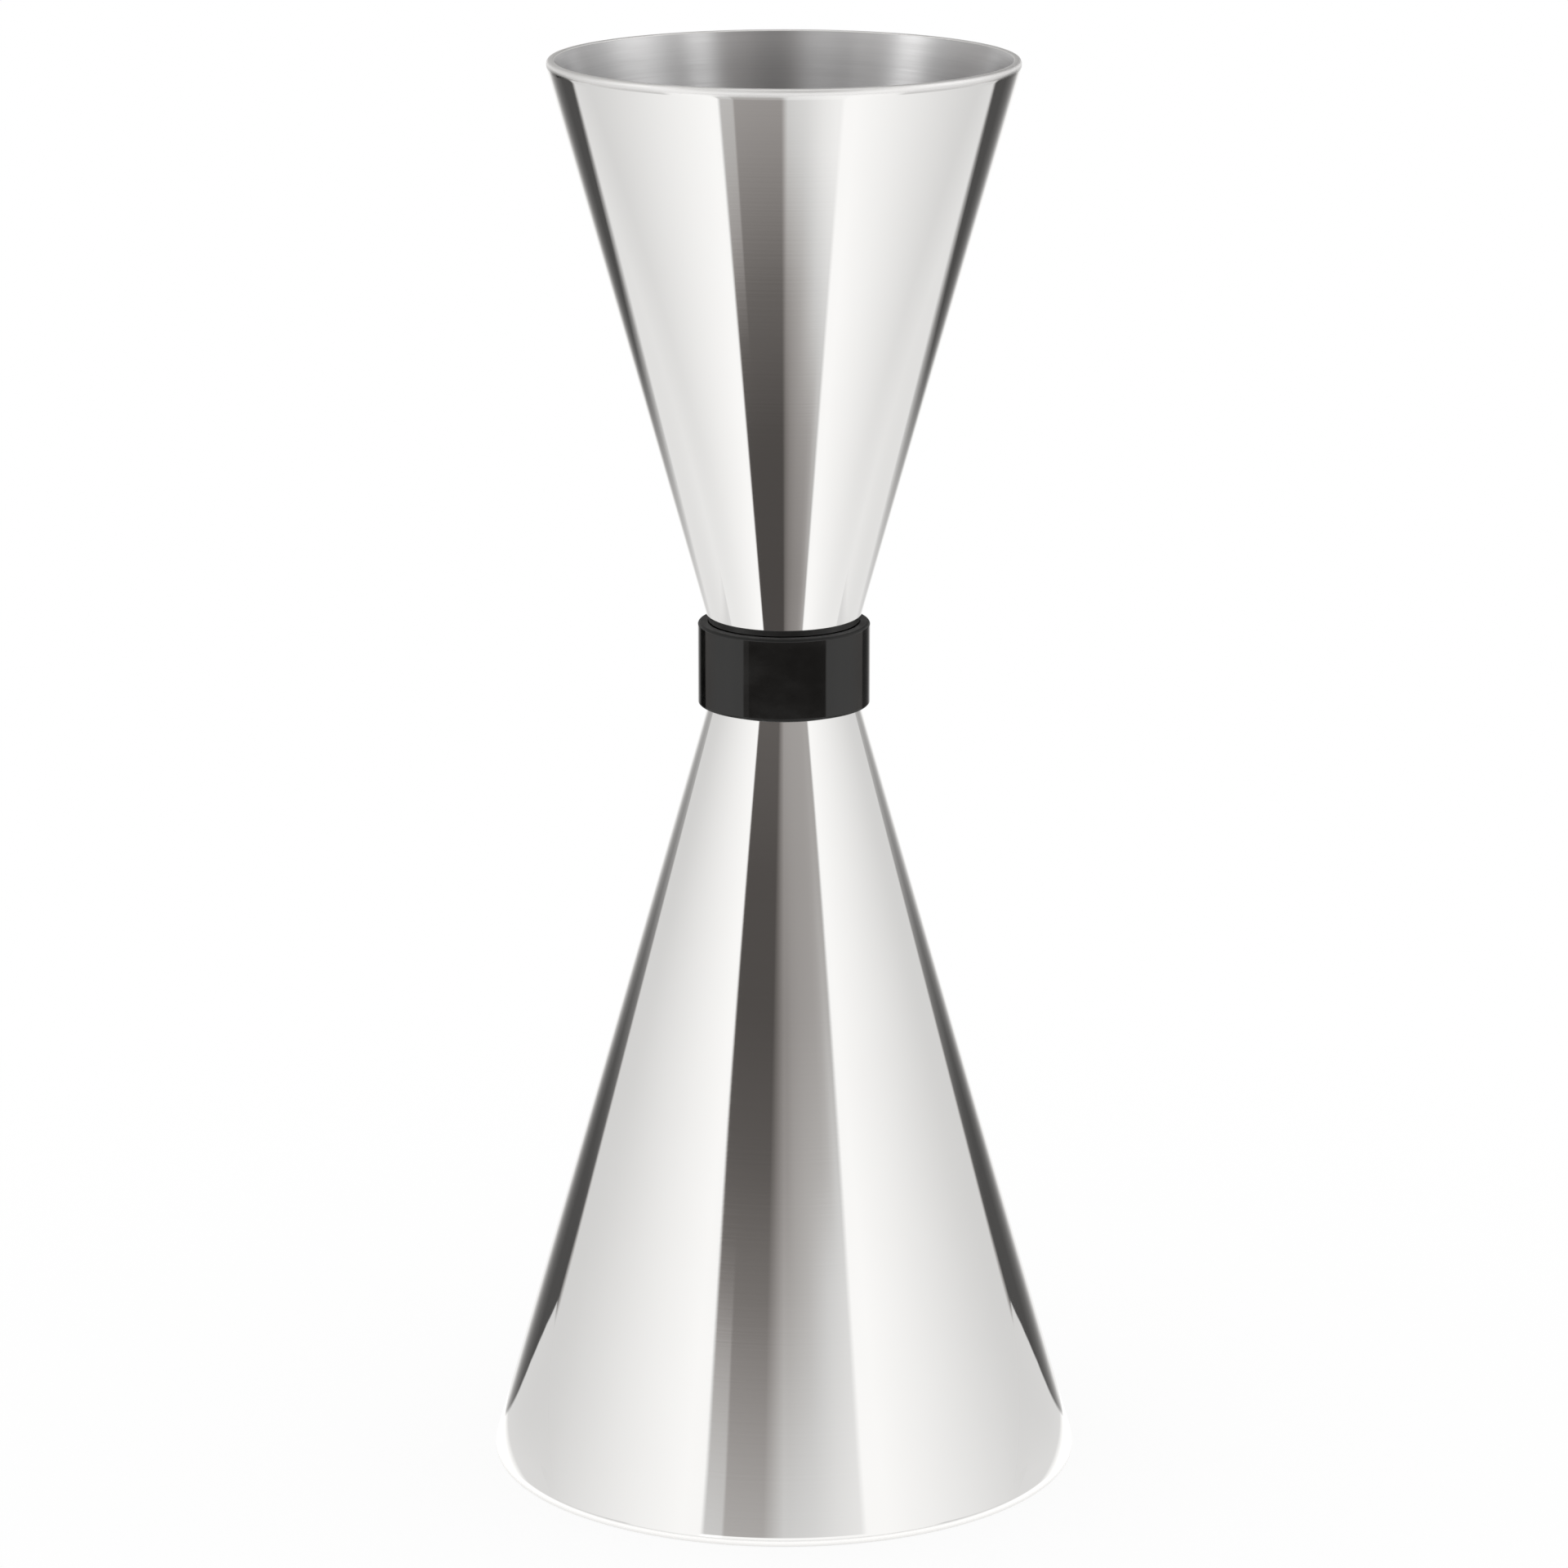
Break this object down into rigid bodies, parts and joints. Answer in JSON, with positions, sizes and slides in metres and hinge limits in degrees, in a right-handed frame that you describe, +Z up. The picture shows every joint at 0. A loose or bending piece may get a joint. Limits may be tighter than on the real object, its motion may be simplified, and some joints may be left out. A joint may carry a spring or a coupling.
{
  "type": "bar jigger",
  "caption": "Slim double-ended spirit measure: two mirror-polished steel cones joined floor to floor, with a black collar at the waist.",
  "frame": {"origin": "centre of the large cup's rim, on the surface that the jigger stands on", "axes": "+Z up along the common axis of the two cups, towards the small cup's mouth. The part is round, so X and Y are any two directions across it"},
  "size_m": [0.0528, 0.0528, 0.127],
  "materials": {
    "polished_steel": "polished",
    "weld_steel": "satin",
    "black_gloss_plastic": "gloss",
    "adhesive": "satin"
  },
  "bodies": {
    "root": {"upper_cup": "polished_steel", "lower_cup": "polished_steel", "weld_nugget": "weld_steel", "collar": "black_gloss_plastic", "upper_collar_bond": "adhesive", "lower_collar_bond": "adhesive"}
  },
  "joints": []
}
